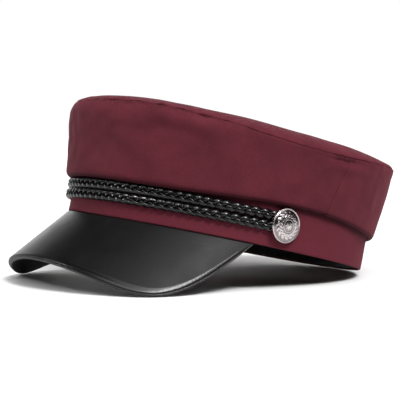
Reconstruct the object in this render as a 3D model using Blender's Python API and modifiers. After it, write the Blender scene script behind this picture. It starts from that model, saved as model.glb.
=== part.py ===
"""A flat-topped cadet cap, standing on the two lobes of its visor and the back of its band.

The crown is a domed top panel over a front and a back side panel, whose lower edge
rolls under to the band. A sweatband lines the band. The visor is joined to the front
of the band, and two plaited cords run across the front from button to button.

The pieces are worked out in the cap's own frame: the band's lower edge lies in the
plane Z = 0, the wearer looks along -Y, and +X is the wearer's left. One empty then
tips the whole cap back, into the way it stands by itself.
"""

import math

import bmesh
import bpy
from mathutils import Matrix, Vector

# All sizes are in metres and degrees. A "turn" goes round the head from the front, towards
# +X. A size that changes round the head is listed as its mean and then its cosine terms.
HEAD_HALF_LENGTH = 0.0947
HEAD_HALF_WIDTH = 0.0867
PITCH = 13.058
GAP = 0.0003
CLOTH = 0.0012

# The crown: its top seam, the dome above the seam, and the fold that hangs over the band.
SEAM_OVERHANG = (0.0105, 0.0014, -0.0002)
SEAM_HEIGHT = (0.0649, -0.0002, 0.0031, -0.0008)
SEAM_LIP = 0.0009
TOP_RISE = 0.0105
TOP_ROUNDNESS = (3.75, 0.78)
FOLD_OVERHANG = (0.0049, 0.0013, 0.0003)
FOLD_LOW = (0.02195, 0.00125, -0.0025, 0.00015, 0.00085)
FOLD_DEPTH = 0.0046
FOLD_TUCK = 0.0015
FOLD_ALLOWANCE = 0.0030

# The seams at the sides, at the fold's height. They lean back by degrees for each metre up.
SIDE_SEAM_TURN = 98.2
SIDE_SEAM_LEAN = 85.0
SIDE_SEAM_HALF_GAP = 0.1

BAND_THICKNESS = 0.0016
BAND_ABOVE_FOLD = 0.0050
SWEATBAND_THICKNESS = 0.0010
SWEATBAND_INSET = 0.0010

# The visor: "side" runs from -1 at its right end to 1 at its left end. Its length grows
# with side squared, and falls off at the ends with the power of its corner.
VISOR_HALF_TURN = 73.2
VISOR_END = 0.99
VISOR_LENGTH = 0.0434
VISOR_LOBES = 0.63
VISOR_CORNER = 8.3
VISOR_SLOPE = (46.2, 6.2, -1.9)
VISOR_SPREAD = (0.23, -0.03)
VISOR_THICKNESS = 0.0028
VISOR_LEDGE = BAND_THICKNESS + GAP + SWEATBAND_THICKNESS

BRAID_WIDTH = 0.0058
BRAID_THICKNESS = 0.0022
BRAID_END_TURN = 79.6
BRAID_HEIGHTS = {"braid_lower": 0.0118, "braid_upper": 0.0180}

BUTTON_TURN = 82.8
BUTTON_HEIGHT = 0.0138
BUTTON_TILT = 11.0
BUTTON_RADIUS = 0.0101
BUTTON_DOME = 0.0046
BUTTON_RIM_WIDTH = 0.0010
BUTTON_RIM_HEIGHT = 0.0022
BUTTON_EDGE_ROUND = 0.0004
SHANK_RADIUS = 0.0020

# The leaning button's back edge lies a gap off the band, which falls away from a flat
# face by the sagitta of its curve. The shank fills what is left behind its middle.
LEAN = math.sin(math.radians(BUTTON_TILT))
BAND_SAG = BUTTON_RADIUS**2 * HEAD_HALF_WIDTH / HEAD_HALF_LENGTH**2 / 2
BUTTON_SEAT = BUTTON_RADIUS * LEAN - BAND_SAG + GAP
SHANK_LENGTH = BUTTON_SEAT - GAP - SHANK_RADIUS * LEAN

# How finely each surface is divided.
RING_STEPS = 64
FRONT_STEPS = 36
BACK_STEPS = 28
TOP_STEPS = 7
WALL_STEPS = 3
FOLD_STEPS = 5
VISOR_STEPS_ROUND = 36
VISOR_STEPS_OUT = 5
BRAID_STEPS = 40
BRAID_SIDES = 8
BUTTON_STEPS = 32
DOME_STEPS = 5
SHARP_ANGLE = 40
SAME_POINT = 1e-6


def clear_scene():
    for thing in list(bpy.data.objects):
        bpy.data.objects.remove(thing, do_unlink=True)


def make_material(name, colour, roughness, metallic=0.0):
    material = bpy.data.materials.new(name)
    material.use_nodes = True
    surface = material.node_tree.nodes["Principled BSDF"]
    surface.inputs["Base Color"].default_value = (*colour, 1.0)
    surface.inputs["Roughness"].default_value = roughness
    surface.inputs["Metallic"].default_value = metallic
    return material


def round_head(terms, turn):
    """The value at a turn, in degrees, of a size that changes round the head."""
    return sum(term * math.cos(order * math.radians(turn)) for order, term in enumerate(terms))


def outward(turn):
    """The band's outward direction at a turn."""
    angle = math.radians(turn)
    across = math.sin(angle) / HEAD_HALF_WIDTH
    along = -math.cos(angle) / HEAD_HALF_LENGTH
    return Vector((across, along, 0.0)).normalized()


def on_head(turn, out, up):
    """A point that lies OUT beyond the band's outside and UP above its lower edge."""
    angle = math.radians(turn)
    x = HEAD_HALF_WIDTH * math.sin(angle)
    y = -HEAD_HALF_LENGTH * math.cos(angle)
    return Vector((x, y, up)) + out * outward(turn)


def on_ellipse(out, up, reach, drop, angle):
    """The (out, up) at an angle below level, on an ellipse about a middle."""
    lean = math.radians(angle)
    return out + reach * math.cos(lean), up - drop * math.sin(lean)


def spaced(first, last, steps):
    """Evenly spaced values from first to last, both included."""
    return [first + (last - first) * step / steps for step in range(steps + 1)]


def add_piece(name, shape, material):
    """Turns a bmesh into an object of the cap."""
    mesh = bpy.data.meshes.new(name)
    shape.to_mesh(mesh)
    shape.free()
    mesh.shade_smooth()
    mesh.set_sharp_from_angle(angle=math.radians(SHARP_ANGLE))
    mesh.materials.append(material)
    piece = bpy.data.objects.new(name, mesh)
    piece.parent = cap_frame
    cap_parts.objects.link(piece)
    return piece


def skin(rows):
    """A surface through rows of points. A row that goes all round ends where it began."""
    shape = bmesh.new()
    grid = [[shape.verts.new(point) for point in row] for row in rows]
    for upper, lower in zip(grid, grid[1:]):
        for column in range(len(upper) - 1):
            corners = (upper[column], lower[column], lower[column + 1], upper[column + 1])
            shape.faces.new(corners)
    bmesh.ops.remove_doubles(shape, verts=shape.verts, dist=SAME_POINT)
    return shape


def carried(sections):
    """A solid through closed sections, with an end face on the first and on the last."""
    shape = skin([[*section, section[0]] for section in sections])
    bmesh.ops.holes_fill(shape, edges=shape.edges)
    bmesh.ops.recalc_face_normals(shape, faces=shape.faces)
    return shape


def add_shell(name, rows, thickness, material):
    """A sheet of cloth or leather: the rows are its outside, and it thickens inward."""
    piece = add_piece(name, skin(rows), material)
    solidify = piece.modifiers.new("thickness", "SOLIDIFY")
    solidify.thickness = thickness
    solidify.offset = -1.0
    solidify.use_even_offset = True
    return piece


def add_crown_top(material):
    """The top panel: a low dome on an upright lip, which meets the side panels at the seam."""
    turns = spaced(0, 360, RING_STEPS)
    edge = [on_head(turn, round_head(SEAM_OVERHANG, turn), 0.0) for turn in turns]
    heights = [round_head(SEAM_HEIGHT, turn) for turn in turns]
    middle = (edge[0] + edge[RING_STEPS // 2]) / 2
    power, bluntness = TOP_ROUNDNESS
    rows = [[point + Vector((0, 0, up - SEAM_LIP)) for point, up in zip(edge, heights)]]
    for angle in spaced(90, 0, TOP_STEPS):
        size = math.sin(math.radians(angle))
        dome = TOP_RISE * (1 - size**power) ** bluntness
        row = []
        for point, up in zip(edge, heights):
            level = SEAM_HEIGHT[0] + (up - SEAM_HEIGHT[0]) * size
            row.append(middle.lerp(point, size) + Vector((0, 0, level + dome)))
        rows.append(row)
    rows = rows[::-1]
    return add_shell("crown_top", rows, CLOTH, material)


def side_section(turn, seam_turn):
    """A side panel's outline, as (out, up): down the outside, under the fold, up inside.

    Its fold is that of the turn, and its top edge that of the seam's turn.
    """
    seam_out = round_head(SEAM_OVERHANG, seam_turn)
    seam_up = round_head(SEAM_HEIGHT, seam_turn) - SEAM_LIP - GAP
    overhang = round_head(FOLD_OVERHANG, turn)
    low = round_head(FOLD_LOW, turn)
    bend = low + FOLD_DEPTH
    section = []
    for share in spaced(0, 1, WALL_STEPS):
        section.append((seam_out + (overhang - seam_out) * share, seam_up + (bend - seam_up) * share))
    reach = overhang - FOLD_TUCK
    for angle in spaced(0, 90, FOLD_STEPS)[1:]:
        section.append(on_ellipse(FOLD_TUCK, bend, reach, FOLD_DEPTH, angle))
    for angle in (45, 0):
        section.append(on_ellipse(FOLD_TUCK, low + CLOTH, GAP - FOLD_TUCK, CLOTH, angle))
    section.append((GAP, low + FOLD_ALLOWANCE))
    for angle in (45, 0):
        section.append(on_ellipse(FOLD_TUCK, bend, reach - CLOTH, FOLD_DEPTH - CLOTH, angle))
    section.append((seam_out - CLOTH, seam_up))
    return section


def add_crown_side(name, middle, half, lean, steps, material):
    """A side panel, which reaches a half each way from its middle turn to its leaning seams."""
    sections = []
    for share in spaced(-1, 1, steps):
        turn = middle + half * share
        seam_turn = turn + lean * share * (SEAM_HEIGHT[0] - FOLD_LOW[0])
        section = []
        for out, up in side_section(turn, seam_turn):
            section.append(on_head(turn + lean * share * (up - FOLD_LOW[0]), out, up))
        sections.append(section)
    return add_piece(name, carried(sections), material)


def add_bands(cloth, leather):
    """The cloth band, and the sweatband a gap inside it. Their tops hide behind the fold."""
    turns = spaced(0, 360, RING_STEPS)
    tops = [round_head(FOLD_LOW, turn) + BAND_ABOVE_FOLD for turn in turns]
    upper = [on_head(turn, 0.0, top) for turn, top in zip(turns, tops)]
    lower = [on_head(turn, 0.0, 0.0) for turn in turns]
    add_shell("band", [upper, lower], BAND_THICKNESS, cloth)

    inside = -BAND_THICKNESS - GAP
    upper = [on_head(turn, inside, top - SWEATBAND_INSET) for turn, top in zip(turns, tops)]
    lower = [on_head(turn, inside, SWEATBAND_INSET) for turn in turns]
    add_shell("sweatband", [upper, lower], SWEATBAND_THICKNESS, leather)


def add_visor(material):
    """The visor: straight from its root to its edge, longest where it bends round the head.

    Its root is a ledge under the band's lower edge, where the real one is sewn in.
    """
    rows = [[] for _ in range(VISOR_STEPS_OUT + 2)]
    for angle in spaced(-90, 90, VISOR_STEPS_ROUND):
        side = math.sin(math.radians(angle)) * VISOR_END
        turn = side * VISOR_HALF_TURN
        length = VISOR_LENGTH * (1 + VISOR_LOBES * side**2) * (1 - abs(side) ** VISOR_CORNER)
        slope = math.radians(VISOR_SLOPE[0] + VISOR_SLOPE[1] * side**2 + VISOR_SLOPE[2] * side**4)
        heading = VISOR_SPREAD[0] * math.radians(turn) + VISOR_SPREAD[1] * side**3
        way = Vector((math.sin(heading), -math.cos(heading), 0.0)) * math.cos(slope)
        way.z = -math.sin(slope)
        root = on_head(turn, 0.0, -GAP)
        rows[0].append(on_head(turn, -VISOR_LEDGE, -GAP))
        for row, share in zip(rows[1:], spaced(0, 1, VISOR_STEPS_OUT)):
            row.append(root + way * length * share)
    return add_shell("visor", rows, VISOR_THICKNESS, material)


def add_braid(name, height, material):
    """A plaited cord, as a strap of oval section along the band. Its ends hide under the buttons."""
    sections = []
    for turn in spaced(-BRAID_END_TURN, BRAID_END_TURN, BRAID_STEPS):
        section = []
        for angle in spaced(0, 360, BRAID_SIDES)[:-1]:
            middle = GAP + BRAID_THICKNESS / 2
            point = on_ellipse(middle, height, BRAID_THICKNESS / 2, BRAID_WIDTH / 2, angle)
            section.append(on_head(turn, *point))
        sections.append(section)
    return add_piece(name, carried(sections), material)


def button_profile():
    """A button's outline, as (radius, height) from the top of its dome down to its shank."""
    inner = BUTTON_RADIUS - BUTTON_RIM_WIDTH
    outline = []
    for share in spaced(0, 1, DOME_STEPS):
        height = BUTTON_RIM_HEIGHT + (BUTTON_DOME - BUTTON_RIM_HEIGHT) * (1 - share**2)
        outline.append((inner * share, height))
    outline.append((BUTTON_RADIUS - BUTTON_EDGE_ROUND, BUTTON_RIM_HEIGHT))
    outline.append((BUTTON_RADIUS, BUTTON_RIM_HEIGHT - BUTTON_EDGE_ROUND))
    outline.append((BUTTON_RADIUS, BUTTON_EDGE_ROUND))
    outline.append((BUTTON_RADIUS - BUTTON_EDGE_ROUND, 0.0))
    outline.append((SHANK_RADIUS, 0.0))
    outline.append((SHANK_RADIUS, -SHANK_LENGTH))
    outline.append((0.0, -SHANK_LENGTH))
    return outline


def add_button(name, turn, material):
    """A shank button. The cords' ends prop up its front edge, so it leans back by its tilt."""
    shape = bmesh.new()
    points = [shape.verts.new((radius, 0.0, height)) for radius, height in button_profile()]
    for first, second in zip(points, points[1:]):
        shape.edges.new((first, second))
    piece = add_piece(name, shape, material)
    screw = piece.modifiers.new("turned", "SCREW")
    screw.angle = math.radians(360)
    screw.steps = BUTTON_STEPS
    screw.render_steps = BUTTON_STEPS
    screw.use_merge_vertices = True
    screw.merge_threshold = SAME_POINT

    tilt = math.copysign(BUTTON_TILT, turn)
    facing = Matrix.Rotation(math.radians(tilt), 3, "Z") @ outward(turn)
    piece.location = on_head(turn, BUTTON_SEAT, BUTTON_HEIGHT)
    piece.rotation_euler = facing.to_track_quat("Z", "Y").to_euler()
    return piece


def stand_on_floor():
    """Puts the middle of the cap's box over the origin, and the cap's lowest point on Z = 0."""
    bpy.context.view_layer.update()
    graph = bpy.context.evaluated_depsgraph_get()
    points = []
    for piece in cap_parts.objects:
        if piece.type == "MESH":
            solid = piece.evaluated_get(graph)
            points += [solid.matrix_world @ vertex.co for vertex in solid.data.vertices]
    low = Vector([min(point[axis] for point in points) for axis in range(3)])
    high = Vector([max(point[axis] for point in points) for axis in range(3)])
    cap_frame.location -= Vector(((low.x + high.x) / 2, (low.y + high.y) / 2, low.z))


clear_scene()
cap_parts = bpy.data.collections.new("cadet_cap")
bpy.context.scene.collection.children.link(cap_parts)
cap_frame = bpy.data.objects.new("cap_frame", None)
cap_frame.rotation_euler.x = math.radians(-PITCH)
cap_parts.objects.link(cap_frame)

burgundy_cloth = make_material("burgundy_cloth", (0.125, 0.025, 0.036), 0.85)
visor_leather = make_material("visor_leather", (0.010, 0.010, 0.011), 0.35)
lining_leather = make_material("lining_leather", (0.008, 0.008, 0.008), 0.6)
braid_leather = make_material("braid_leather", (0.009, 0.009, 0.009), 0.25)
button_metal = make_material("button_metal", (0.55, 0.54, 0.53), 0.2, 1.0)

add_crown_top(burgundy_cloth)
front_half = SIDE_SEAM_TURN - SIDE_SEAM_HALF_GAP
back_half = 180 - SIDE_SEAM_TURN - SIDE_SEAM_HALF_GAP
add_crown_side("crown_side_front", 0, front_half, SIDE_SEAM_LEAN, FRONT_STEPS, burgundy_cloth)
add_crown_side("crown_side_back", 180, back_half, -SIDE_SEAM_LEAN, BACK_STEPS, burgundy_cloth)
add_bands(burgundy_cloth, lining_leather)
add_visor(visor_leather)
for braid, braid_height in BRAID_HEIGHTS.items():
    add_braid(braid, braid_height, braid_leather)
add_button("button_left", BUTTON_TURN, button_metal)
add_button("button_right", -BUTTON_TURN, button_metal)
stand_on_floor()
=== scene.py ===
"""A burgundy cadet cap, standing by itself on a pale floor.

The cap is made in the order in which it is put together: the band with its sweatband,
the visor, the crown's side panels and top, and then the two plaited cords and the buttons.
All sizes are in metres. A "turn" goes round the head in degrees, from the front towards +X,
"out" is the way out from the band's outside, and "up" the way up from its lower edge.
"""

import math

import bmesh
import bpy
import numpy as np
from mathutils import Matrix, Vector


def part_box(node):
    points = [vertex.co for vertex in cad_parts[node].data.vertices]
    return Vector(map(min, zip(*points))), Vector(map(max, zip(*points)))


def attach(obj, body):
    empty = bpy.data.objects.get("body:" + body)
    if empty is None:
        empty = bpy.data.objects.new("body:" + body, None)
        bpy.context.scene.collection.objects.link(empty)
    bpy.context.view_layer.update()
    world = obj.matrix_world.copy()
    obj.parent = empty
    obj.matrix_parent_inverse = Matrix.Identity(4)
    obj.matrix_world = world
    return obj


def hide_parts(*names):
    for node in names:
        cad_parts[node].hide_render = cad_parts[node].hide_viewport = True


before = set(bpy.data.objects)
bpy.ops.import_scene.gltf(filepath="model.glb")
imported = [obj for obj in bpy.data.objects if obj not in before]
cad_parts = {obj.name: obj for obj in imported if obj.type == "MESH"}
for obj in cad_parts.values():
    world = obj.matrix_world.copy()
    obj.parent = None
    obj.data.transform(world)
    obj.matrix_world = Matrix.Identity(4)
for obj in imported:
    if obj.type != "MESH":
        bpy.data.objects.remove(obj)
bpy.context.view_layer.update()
scene = bpy.context.scene

# ---------------------------------------------------------------- cloth band
# A strip of burgundy cotton twill over a woven stiffener, turned under at its lower
# edge and joined at the back. It goes once round the head, which is taken as 570 mm.

HEAD_HALF_LENGTH = 0.0947
# The cap leans back by this much, as it rests on its visor and the back of its band.
PITCH = math.radians(13.058)
# How far up the crown's fold comes, as cosine terms round the head.
FOLD_LOW = (0.02195, 0.00125, -0.0025, 0.00015, 0.00085)
BAND_THICKNESS = 0.0016
BAND_ABOVE_FOLD = 0.0050
BAND_TURN_STEP = 1.0
BAND_COLUMNS = 24
BAND_EDGE_STEPS = 10
# The cloth is uneven by this much, and less so over its turned lower edge.
BAND_UNEVEN = 0.00016
BAND_UNEVEN_LENGTH = 0.034
BAND_FINE_SHARE = 0.4
BAND_FINE_LENGTH = 0.012
BAND_EVEN_EDGE = 0.004
# The seam at the back, where the strip's ends are joined.
BAND_SEAM_WIDTH = 0.0008
BAND_SEAM_DEPTH = 0.0006
# Just right of the wearer's front the visor's seam is sewn this much too high.
SEAM_LIFT = 0.0012
LIFT_TURN = -20.0
LIFT_REACH = 24.0
# Where the band goes up under the fold, painted shade darkens it.
SHADE_BELOW_FOLD = 0.0030
SHADE_SOFT = 0.0018

BURGUNDY = "#521f28"
BURGUNDY_HIGH = "#602731"
BURGUNDY_LOW = "#411820"
# A lighter burgundy for the band, as painted light.
BURGUNDY_LIT = "#55202a"
# A deep burgundy for painted shade.
BURGUNDY_SHADE = "#321016"
BURGUNDY_SHEEN = "#b45a6c"

band_low, band_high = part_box("band")
HEAD_HALF_WIDTH = (band_high.x - band_low.x) / 2
cap_middle = Vector((
    0.0,
    band_low.y + HEAD_HALF_LENGTH * math.cos(PITCH),
    band_low.z + HEAD_HALF_LENGTH * math.sin(PITCH),
))
cap_place = Matrix.Translation(cap_middle) @ Matrix.Rotation(-PITCH, 4, "X")


def round_head(terms, turn):
    """A size that changes round the head, from its mean and cosine terms."""
    return sum(term * np.cos(order * np.radians(turn)) for order, term in enumerate(terms))


def unit(vectors):
    """The same directions, each one metre long."""
    return vectors / np.linalg.norm(vectors, axis=-1, keepdims=True)


def outward(turn):
    """The band's outward direction at each turn."""
    angle = np.radians(turn)
    across = np.sin(angle) / HEAD_HALF_WIDTH
    along = -np.cos(angle) / HEAD_HALF_LENGTH
    return unit(np.stack([across, along, np.zeros_like(across)], axis=-1))


def between(turn, other):
    """How far round one turn is from another, from -180 to 180 degrees."""
    return (turn - other + 180) % 360 - 180


def lift(turn):
    """How far too high the visor's seam is at each turn."""
    return SEAM_LIFT * np.exp(-(between(turn, LIFT_TURN) / LIFT_REACH) ** 2)


def on_head(turn, out, up):
    """The points at each turn, out and up."""
    turn, out, up = np.broadcast_arrays(turn, out, up)
    angle = np.radians(turn)
    x = HEAD_HALF_WIDTH * np.sin(angle)
    y = -HEAD_HALF_LENGTH * np.cos(angle)
    return np.stack([x, y, up], axis=-1) + out[..., None] * outward(turn)


SWELL_WAVES = 28
SWELL_LEVEL = 0.6


def uneven(points, length, seed):
    """A smooth, random swell about as long as the length, mostly between -1 and 1."""
    draws = np.random.default_rng(seed)
    ways = draws.normal(size=(SWELL_WAVES, 3))
    ways *= (draws.uniform(0.7, 1.3, SWELL_WAVES) / np.linalg.norm(ways, axis=1))[:, None]
    phases = draws.uniform(0.0, 2 * math.pi, SWELL_WAVES)
    waves = np.cos(points @ ways.T * (2 * math.pi / length) + phases)
    return waves.sum(axis=-1) * SWELL_LEVEL * math.sqrt(2 / SWELL_WAVES)


def run_lengths(grid):
    """Each point's way along the cloth, in metres: round the piece, and over its section."""
    over = np.linalg.norm(np.diff(grid, axis=1), axis=-1).cumsum(axis=1)
    over = np.pad(over, ((0, 0), (1, 0)))
    round_piece = np.linalg.norm(np.diff(grid, axis=0), axis=-1).mean(axis=1).cumsum()
    round_piece = np.pad(round_piece, (1, 0))
    return np.stack([np.broadcast_to(round_piece[:, None], over.shape), over], axis=-1)


SAME_POINT = 1e-6
SHARP_EDGE = math.radians(50)


def skin(name, grid, material, run=None, place=cap_place, relief=None):
    """A closed piece through rows of sections. A section goes all round, to its first point.

    A first row like the last one joins the two, and other ends are closed with a face. The
    relief is a value from 0 to 1 at each point, which the piece's material reads.
    """
    grid = np.concatenate([grid, grid[:, :1]], axis=1)
    if run is None:
        run = run_lengths(grid)
    rows, columns = grid.shape[0], grid.shape[1] - 1
    all_round = np.allclose(grid[0], grid[-1], atol=SAME_POINT)
    row, column = np.meshgrid(np.arange(rows - 1), np.arange(columns), indexing="ij")
    corners = [(row, column), (row, column + 1), (row + 1, column + 1), (row + 1, column)]
    kept = rows - 1 if all_round else rows
    faces = np.stack([(r % kept) * columns + c % columns for r, c in corners], axis=-1)
    faces = faces.reshape(-1, 4)
    corner_runs = np.stack([run[r, c] for r, c in corners], axis=2).reshape(-1, 2)
    points = grid[:kept, :columns].reshape(-1, 3)
    # The faces have to look outwards, which they do if the volume they close is more than 0.
    first, second, third, fourth = (points[faces[:, corner]] for corner in range(4))
    volume = np.einsum("ij,ij->", first, np.cross(second, third) + np.cross(third, fourth))
    if volume < 0:
        faces = faces[:, ::-1]
        corner_runs = corner_runs.reshape(-1, 4, 2)[:, ::-1].reshape(-1, 2)
    face_list = faces.tolist()
    if not all_round:
        first_end = list(range(columns))
        last_end = list(range((rows - 1) * columns, rows * columns))
        face_list += [first_end[::-1], last_end] if volume < 0 else [first_end, last_end[::-1]]
        corner_runs = np.concatenate([corner_runs, run[0, :columns], run[-1, :columns]])
    mesh = bpy.data.meshes.new(name)
    mesh.from_pydata(points.tolist(), [], face_list)
    weave = mesh.uv_layers.new(name="run")
    weave.data.foreach_set("uv", corner_runs.astype(np.float32).ravel())
    mesh.shade_smooth()
    mesh.set_sharp_from_angle(angle=SHARP_EDGE)
    mesh.materials.append(material)
    mesh.transform(place)
    if relief is not None:
        shown = mesh.attributes.new("relief", "FLOAT", "POINT")
        shown.data.foreach_set("value", relief[:kept].astype(np.float32).ravel())
    welded = bmesh.new()
    welded.from_mesh(mesh)
    bmesh.ops.remove_doubles(welded, verts=welded.verts, dist=SAME_POINT)
    loose = [edge for edge in welded.edges if not edge.link_faces]
    bmesh.ops.delete(welded, geom=loose, context="EDGES")
    welded.to_mesh(mesh)
    welded.free()
    piece = bpy.data.objects.new(name, mesh)
    scene.collection.objects.link(piece)
    return piece


def linear(colour):
    """An sRGB hex colour as linear red, green, blue and alpha."""
    parts = [int(colour[start:start + 2], 16) / 255 for start in (1, 3, 5)]
    return [part / 12.92 if part <= 0.04045 else ((part + 0.055) / 1.055) ** 2.4 for part in parts] + [1.0]


def fill(tree, node, sockets):
    """Gives each of a node's sockets its value, or the other node's output it links to."""
    for name, value in sockets.items():
        if isinstance(value, bpy.types.NodeSocket):
            tree.links.new(value, node.inputs[name])
        else:
            node.inputs[name].default_value = value


def add_node(tree, kind, sockets=None, **settings):
    """Adds a node with its settings, and fills its sockets."""
    made = tree.nodes.new("ShaderNode" + kind)
    for name, value in settings.items():
        setattr(made, name, value)
    fill(tree, made, sockets or {})
    return made


def new_material(name):
    """A new material, its node tree, its surface shader, and the piece's own coordinates."""
    material = bpy.data.materials.new(name)
    material.use_nodes = True
    tree = material.node_tree
    place = add_node(tree, "TexCoord").outputs["Object"]
    return material, tree, tree.nodes["Principled BSDF"], place


# Cotton twill, piece-dyed and lightly brushed: matt, with a faint bloom at grazing angles
# and hardly any shine. Real twill has a wale each 0.5 mm, which is too fine to show, so the
# wales are drawn 1.1 mm apart. The yarns' uneven dye gives it a fine and a broad mottle.
# Painted shade darkens it where the piece's relief value says: under the crown's fold, on the
# band beneath it, and along the tightest stretches of the top seam.
WALE = 0.0011
WALE_SLANT = math.radians(38)
YARN = 0.0006
MOTTLE = 0.018

twill, tree, surface, place = new_material("brushed_cotton_twill")
run = add_node(tree, "UVMap", uv_map="run").outputs["UV"]
diagonal = add_node(tree, "Mapping", {"Vector": run, "Rotation": (0, 0, WALE_SLANT)})
wales = add_node(tree, "TexWave", {
    "Vector": diagonal.outputs["Vector"],
    "Scale": math.pi / 10 / WALE,
    "Distortion": 1.2,
    "Detail": 2.0,
    "Detail Scale": 3.0,
}, wave_profile="SIN")
yarn_map = add_node(tree, "Mapping", {"Vector": run, "Scale": (1.0, 0.35, 1.0)})
yarns = add_node(tree, "TexNoise", {
    "Vector": yarn_map.outputs["Vector"], "Scale": 1 / YARN, "Detail": 3.0, "Roughness": 0.6,
})
mottle = add_node(tree, "TexNoise", {
    "Vector": place, "Scale": 1 / MOTTLE, "Detail": 3.0, "Roughness": 0.55,
})
mottle_range = add_node(tree, "MapRange", {
    "Value": mottle.outputs["Fac"], "From Min": 0.3, "From Max": 0.7,
})
broad = add_node(tree, "MixRGB", {
    "Fac": mottle_range.outputs["Result"],
    "Color1": linear(BURGUNDY_LOW), "Color2": linear(BURGUNDY_HIGH),
})
even = add_node(tree, "MixRGB", {
    "Fac": 0.62, "Color1": broad.outputs["Color"], "Color2": linear(BURGUNDY),
})
# Painted shade: the piece's relief value blends the twill towards the deep burgundy.
turned = add_node(tree, "Attribute", attribute_name="relief").outputs["Fac"]
painted_shade_tone = add_node(tree, "Mix", {
    0: turned, 6: even.outputs["Color"], 7: linear(BURGUNDY_SHADE),
}, data_type="RGBA")
yarn_range = add_node(tree, "MapRange", {
    "Value": yarns.outputs["Fac"], "From Min": 0.25, "From Max": 0.75, "To Min": 0.86, "To Max": 1.14,
})
yarn_tone = add_node(tree, "Mix", {
    0: 1.0, 6: painted_shade_tone.outputs[2], 7: yarn_range.outputs["Result"],
}, data_type="RGBA", blend_type="MULTIPLY")
wale_bump = add_node(tree, "Bump", {
    "Height": wales.outputs["Fac"], "Strength": 0.18, "Distance": 0.00025,
})
yarn_bump = add_node(tree, "Bump", {
    "Height": yarns.outputs["Fac"], "Strength": 0.35, "Distance": 0.00025,
    "Normal": wale_bump.outputs["Normal"],
})
fill(tree, surface, {
    "Base Color": yarn_tone.outputs[2], "Normal": yarn_bump.outputs["Normal"],
    "Roughness": 0.88, "IOR": 1.45, "Specular IOR Level": 0.12,
    "Sheen Weight": 0.16, "Sheen Roughness": 0.45, "Sheen Tint": linear(BURGUNDY_SHEEN),
})

# The band takes a copy of the twill that is a little lighter and has no broad mottle. The lighter
# colour is painted light: the upright band is lit more than the crown's outward-leaning wall.
lit_twill = twill.copy()
lit_twill.name = "cotton_twill_painted_lighter"
tree = lit_twill.node_tree
fill(tree, tree.nodes[even.name], {"Fac": 1.0, "Color2": linear(BURGUNDY_LIT)})


def arc(middle, reach, first, last, steps):
    """Points on an ellipse from one angle to another, as (out, up) pairs. 90 degrees is up."""
    angles = np.radians(np.linspace(first, last, steps + 1))
    return np.stack([middle[0] + reach[0] * np.cos(angles), middle[1] + reach[1] * np.sin(angles)], -1)


def strip_sections(face_out, thickness, low, high, columns, edge_steps):
    """A standing strip's sections, as out and up: its face, lower edge, back and upper edge.

    Low and high are where the rounding of its edges begins. High is a column, with a row for
    each section.
    """
    half = thickness / 2
    share = np.linspace(0.0, 1.0, columns)
    lower_edge = arc((face_out - half, low), (half, half), 0, -180, edge_steps)[1:-1]
    upper_edge = arc((face_out - half, 0.0), (half, half), 180, 0, edge_steps)[1:-1]
    out = np.concatenate([
        np.full(columns, face_out), lower_edge[:, 0],
        np.full(columns, face_out - thickness), upper_edge[:, 0],
    ])
    up = np.concatenate([
        high + (low - high) * share,
        np.broadcast_to(lower_edge[:, 1], (len(high), edge_steps - 1)),
        low + (high - low) * share,
        high + upper_edge[:, 1],
    ], axis=1)
    return np.broadcast_to(out, up.shape), up


# The sections lie closer together over the seam at the back.
band_turns = np.unique(np.concatenate([
    np.arange(0.0, 360.0 + BAND_TURN_STEP, BAND_TURN_STEP),
    180 + np.linspace(-2.0, 2.0, 17),
]))
half = BAND_THICKNESS / 2
band_top = round_head(FOLD_LOW, band_turns)[:, None] + BAND_ABOVE_FOLD
out, up = strip_sections(0.0, BAND_THICKNESS, half, band_top - half, BAND_COLUMNS, BAND_EDGE_STEPS)
flat = on_head(band_turns[:, None], out, up)
swell = uneven(flat, BAND_UNEVEN_LENGTH, 11)
swell = swell + BAND_FINE_SHARE * uneven(flat, BAND_FINE_LENGTH, 12)
out = out + BAND_UNEVEN * np.clip(up / BAND_EVEN_EDGE, 0.0, 1.0) * swell
seam_way = np.radians(band_turns - 180) * HEAD_HALF_LENGTH
seam = -BAND_SEAM_DEPTH * np.exp(-(seam_way / BAND_SEAM_WIDTH) ** 2)
out = out + seam[:, None] * (out > -half)
up = up + lift(band_turns)[:, None] * (1 - up / band_top)
# Painted shade on the band just below the crown's fold.
below_fold = band_top - BAND_ABOVE_FOLD - up
painted_shade = np.clip((SHADE_BELOW_FOLD - below_fold) / SHADE_SOFT, 0.0, 1.0)
band = skin("band_cloth", on_head(band_turns[:, None], out, up), lit_twill, relief=painted_shade)
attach(band, "root")
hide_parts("band")

# ---------------------------------------------------------------- sweatband
# A strip of thin black synthetic leather inside the band, with a rounded lower edge, sewn
# to the band by one row of black stitches.

# Pieces that are sewn together lie this far apart.
GAP = 0.0003
SWEATBAND_THICKNESS = 0.0010
SWEATBAND_INSET = 0.0010
SWEATBAND_TURN_STEP = 1.5
SWEATBAND_COLUMNS = 16
SWEATBAND_EDGE_STEPS = 8
SWEATBAND_RIPPLE = 0.00012
SWEATBAND_RIPPLE_LENGTH = 0.028
SWEATBAND_BLACK = "#151414"
SWEATBAND_WORN = "#242121"
LINING_GRAIN = 0.0007
LINING_WEAR = 0.012

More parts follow.
